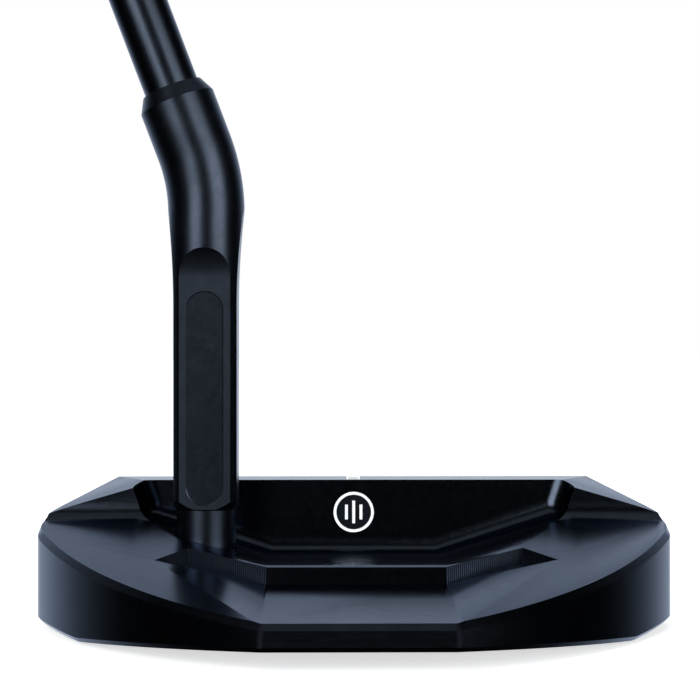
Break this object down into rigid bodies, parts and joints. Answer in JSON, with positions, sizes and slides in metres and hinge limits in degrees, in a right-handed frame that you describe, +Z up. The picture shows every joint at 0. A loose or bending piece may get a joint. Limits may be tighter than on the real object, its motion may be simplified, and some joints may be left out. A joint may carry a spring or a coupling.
{
  "type": "mallet putter",
  "caption": "Right-handed mallet putter: milled head with stepped pocket and ramp, bent neck, steel shaft and pistol grip.",
  "frame": {"origin": "on the flat of the sole, under the middle of the head, 27 mm behind the top edge of the face", "axes": "+X towards the toe, +Y towards the target, +Z up when the club is soled at address"},
  "size_m": [0.3714, 0.0667, 0.8111],
  "materials": {
    "head": "black anodised, fine bead blast and satin milling",
    "neck": "black, fine bead blast",
    "shaft": "black satin",
    "sole_plate": "dark brushed steel",
    "weight": "turned steel",
    "fastener": "black oxide steel",
    "washer": "black nylon",
    "plug": "moulded plastic",
    "tape": "paper tape",
    "foam": "moulded foam",
    "grip": "textured polyurethane",
    "cap": "smooth rubber",
    "fill": "white paint fill"
  },
  "bodies": {
    "root": {"head_body": "head", "sole_plate": "sole_plate", "sole_plate_screw_1": "fastener", "sole_plate_screw_2": "fastener", "sole_plate_screw_3": "fastener", "sole_plate_screw_4": "fastener", "sole_weight_heel": "weight", "sole_weight_toe": "weight", "weight_washer_heel": "washer", "weight_washer_toe": "washer", "neck": "neck", "neck_screw": "fastener", "neck_dowel": "fastener", "shaft": "shaft", "shaft_tip_plug": "plug", "grip_tape": "tape", "grip_core": "foam", "grip_skin": "grip", "grip_cap": "cap", "alignment_fill": "fill", "badge_fill": "fill"}
  },
  "joints": []
}
